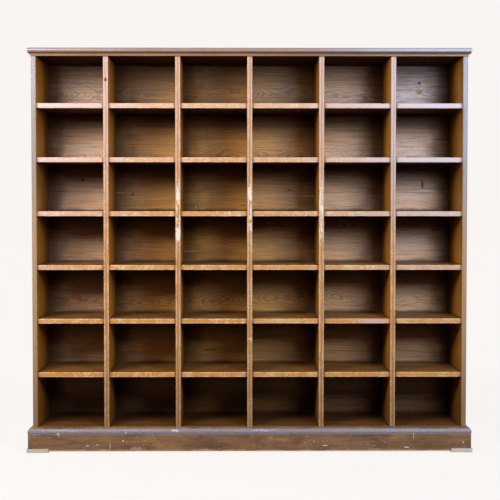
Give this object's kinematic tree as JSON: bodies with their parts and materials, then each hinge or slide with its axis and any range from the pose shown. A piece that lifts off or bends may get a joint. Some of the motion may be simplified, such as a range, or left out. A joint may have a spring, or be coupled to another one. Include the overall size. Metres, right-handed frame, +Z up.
{
  "type": "cubby bookcase",
  "caption": "Open cubby bookcase in stained wood: a grid of equal cubbies between housed shelves and dividers, with a moulded top, cove cornice, mitred plinth and boarded back.",
  "frame": {"origin": "on the ground, under the middle of the case's box", "axes": "+X along the case's width to its right, +Y from the open front to the back, +Z up"},
  "size_m": [1.845, 0.3384, 1.6695],
  "materials": {
    "shelf_wood": "stained and shellacked, worn",
    "upright_wood": "stained and shellacked, worn edges",
    "top_wood": "stained and waxed, worn and dusty",
    "plinth_wood": "stained and waxed, scuffed",
    "inner_wood": "stained, dull",
    "raw_wood": "bare, aged",
    "pad_wood": "bare, pale",
    "iron": "dull, aged"
  },
  "bodies": {
    "root": {"shelf_1_1": "shelf_wood", "shelf_1_2": "shelf_wood", "shelf_1_3": "shelf_wood", "shelf_1_4": "shelf_wood", "shelf_1_5": "shelf_wood", "shelf_1_6": "shelf_wood", "shelf_2_1": "shelf_wood", "shelf_2_2": "shelf_wood", "shelf_2_3": "shelf_wood", "shelf_2_4": "shelf_wood", "shelf_2_5": "shelf_wood", "shelf_2_6": "shelf_wood", "shelf_3_1": "shelf_wood", "shelf_3_2": "shelf_wood", "shelf_3_3": "shelf_wood", "shelf_3_4": "shelf_wood", "shelf_3_5": "shelf_wood", "shelf_3_6": "shelf_wood", "shelf_4_1": "shelf_wood", "shelf_4_2": "shelf_wood", "shelf_4_3": "shelf_wood", "shelf_4_4": "shelf_wood", "shelf_4_5": "shelf_wood", "shelf_4_6": "shelf_wood", "shelf_5_1": "shelf_wood", "shelf_5_2": "shelf_wood", "shelf_5_3": "shelf_wood", "shelf_5_4": "shelf_wood", "shelf_5_5": "shelf_wood", "shelf_5_6": "shelf_wood", "shelf_6_1": "shelf_wood", "shelf_6_2": "shelf_wood", "shelf_6_3": "shelf_wood", "shelf_6_4": "shelf_wood", "shelf_6_5": "shelf_wood", "shelf_6_6": "shelf_wood", "divider_1": "upright_wood", "divider_2": "upright_wood", "divider_3": "upright_wood", "divider_4": "upright_wood", "divider_5": "upright_wood", "side_left": "upright_wood", "side_right": "upright_wood", "top_board": "top_wood", "cornice_front": "top_wood", "cornice_left": "top_wood", "cornice_right": "top_wood", "plinth_front": "plinth_wood", "plinth_left": "plinth_wood", "plinth_right": "plinth_wood", "back_boards": "inner_wood", "bottom_board": "inner_wood", "carcass_top": "inner_wood", "floor_bearers": "raw_wood", "glue_blocks": "raw_wood", "corner_pads": "pad_wood", "back_nails": "iron", "moulding_brads": "iron", "top_screws": "iron"}
  },
  "joints": []
}
